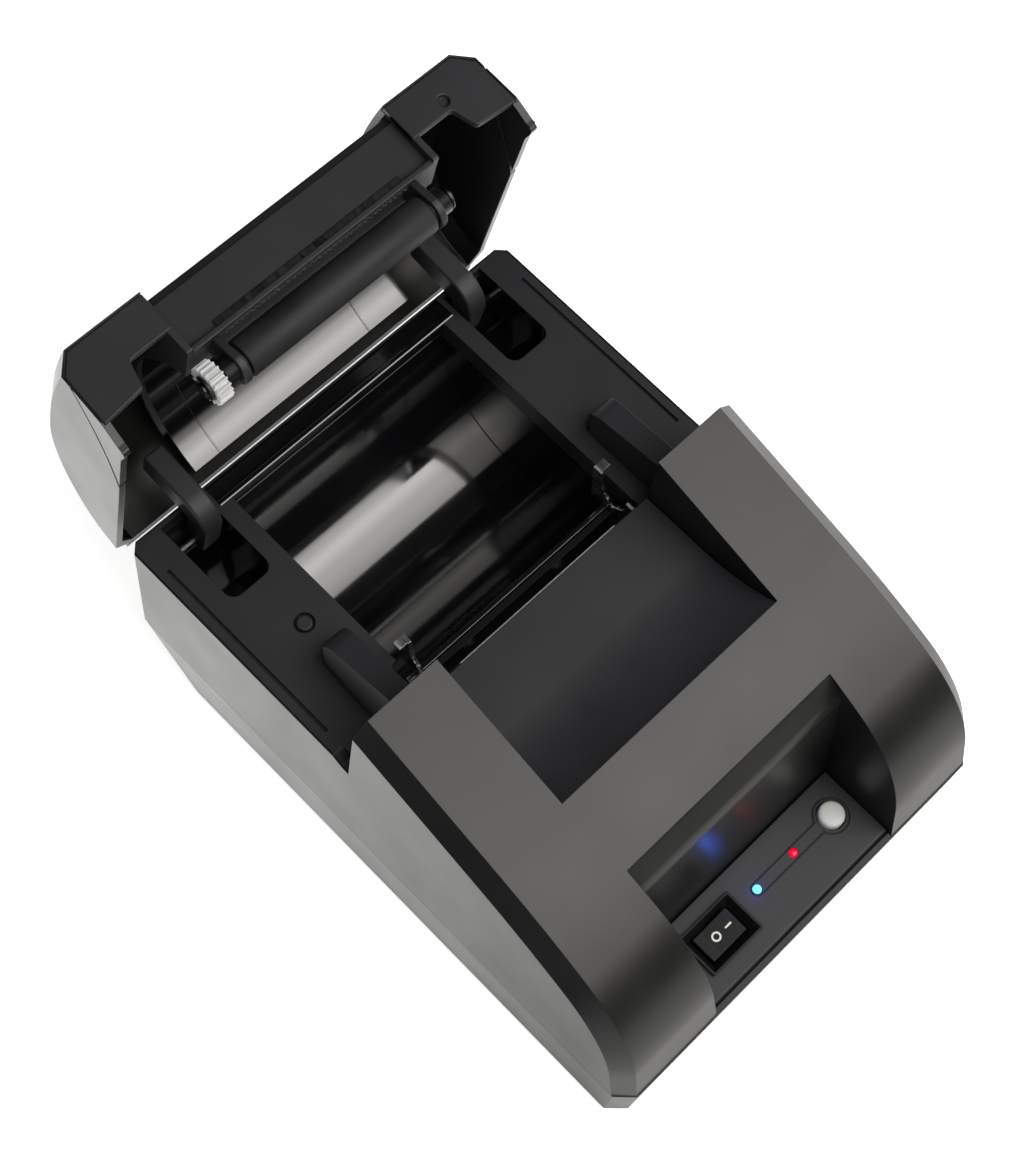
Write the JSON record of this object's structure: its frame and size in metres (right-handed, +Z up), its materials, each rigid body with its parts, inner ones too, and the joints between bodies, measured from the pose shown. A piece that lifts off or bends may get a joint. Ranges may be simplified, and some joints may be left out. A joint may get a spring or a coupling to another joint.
{
  "type": "receipt printer",
  "caption": "Desktop thermal receipt printer with a hinged paper-bay lid, a platen roller in the lid, a print mechanism under the front shell and a recessed control panel",
  "frame": {"origin": "on the table plane through the bottoms of the feet, on the middle plane of the body, 95 mm behind its front face", "axes": "+X to the right seen from the front, +Y to the rear, +Z up"},
  "size_m": [0.133, 0.2106, 0.1263],
  "materials": {
    "case": "satin moulded case",
    "dark": "fine textured",
    "gloss": "polished",
    "steel": "bright",
    "aluminium": "brushed",
    "white": "smooth",
    "rubber": "ground",
    "board": "solder mask",
    "lamp_blue": "lit",
    "lamp_red": "lit"
  },
  "bodies": {
    "base": {"base_tray": "case", "upper_case": "case", "deck_frame": "dark", "paper_tub": "gloss", "head_cover": "dark", "control_panel": "dark", "switch_housing": "gloss", "power_led": "lamp_blue", "status_led": "lamp_red", "panel_board": "board", "feed_switch": "gloss", "lid_sensor_switch": "gloss", "hinge_pins": "steel", "head_chassis": "gloss", "latch_plate_left": "steel", "latch_plate_right": "steel", "head_springs": "steel", "stepper_motor": "steel", "gear_posts": "steel", "paper_sensor": "gloss", "head_cable": "white", "main_board": "board", "control_chip": "gloss", "capacitors": "gloss", "dc_jack": "gloss", "usb_port": "steel", "drawer_port": "gloss", "case_screws": "steel", "board_screws": "steel", "chassis_screws": "steel", "rubber_feet": "rubber"},
    "lid": {"lid_cover": "case", "lid_frame": "dark", "lid_liner": "gloss", "tear_bar": "steel", "platen_bushing_left": "gloss", "platen_bushing_right": "gloss"},
    "platen": {"platen_shaft": "steel", "platen_rubber": "rubber", "platen_gear": "white", "retaining_clips": "steel"},
    "button": {"feed_button": "white"},
    "rocker": {"power_rocker": "gloss"},
    "plunger": {"lid_sensor_plunger": "dark"},
    "print_head": {"heat_sink": "aluminium", "thermal_head": "white"},
    "front_idler": {"idler_gear_front": "white"},
    "rear_idler": {"idler_gear_rear": "white"},
    "pinion": {"motor_pinion": "steel"}
  },
  "joints": [
    {"name": "lid_hinge", "type": "hinge", "parent": "base", "child": "lid", "pos_m": [0, 0.0795, 0.048], "axis": [-1, 0, 0], "range_deg": [-81.3, 3]},
    {"name": "platen_spin", "type": "hinge", "parent": "lid", "child": "platen", "pos_m": [0, 0.08046, 0.11643], "axis": [1, 0, 0], "continuous": true},
    {"name": "feed_press", "type": "slide", "parent": "base", "child": "button", "axis": [0, 0, -1], "range_m": [0, 0.0012]},
    {"name": "power_rock", "type": "hinge", "parent": "base", "child": "rocker", "pos_m": [-0.0182, -0.0814, 0.0206], "axis": [0, 1, 0], "range_deg": [0, 16]},
    {"name": "plunger_press", "type": "slide", "parent": "base", "child": "plunger", "axis": [0, 0, -1], "range_m": [0, 0.0015]},
    {"name": "head_yield", "type": "hinge", "parent": "base", "child": "print_head", "pos_m": [0, 0.0035, 0.0446], "axis": [1, 0, 0], "range_deg": [0, 0.9]},
    {"name": "front_idler_spin", "type": "hinge", "parent": "base", "child": "front_idler", "pos_m": [0, -0.00549, 0.04494], "axis": [1, 0, 0], "continuous": true},
    {"name": "rear_idler_spin", "type": "hinge", "parent": "base", "child": "rear_idler", "pos_m": [0, 0.0076, 0.04835], "axis": [1, 0, 0], "continuous": true},
    {"name": "motor_spin", "type": "hinge", "parent": "base", "child": "pinion", "pos_m": [0, -0.0155, 0.04429], "axis": [1, 0, 0], "continuous": true}
  ],
  "couplings": [
    {"joint": "rear_idler_spin", "follows": "front_idler_spin", "ratio": -1.25},
    {"joint": "motor_spin", "follows": "front_idler_spin", "ratio": -3}
  ]
}
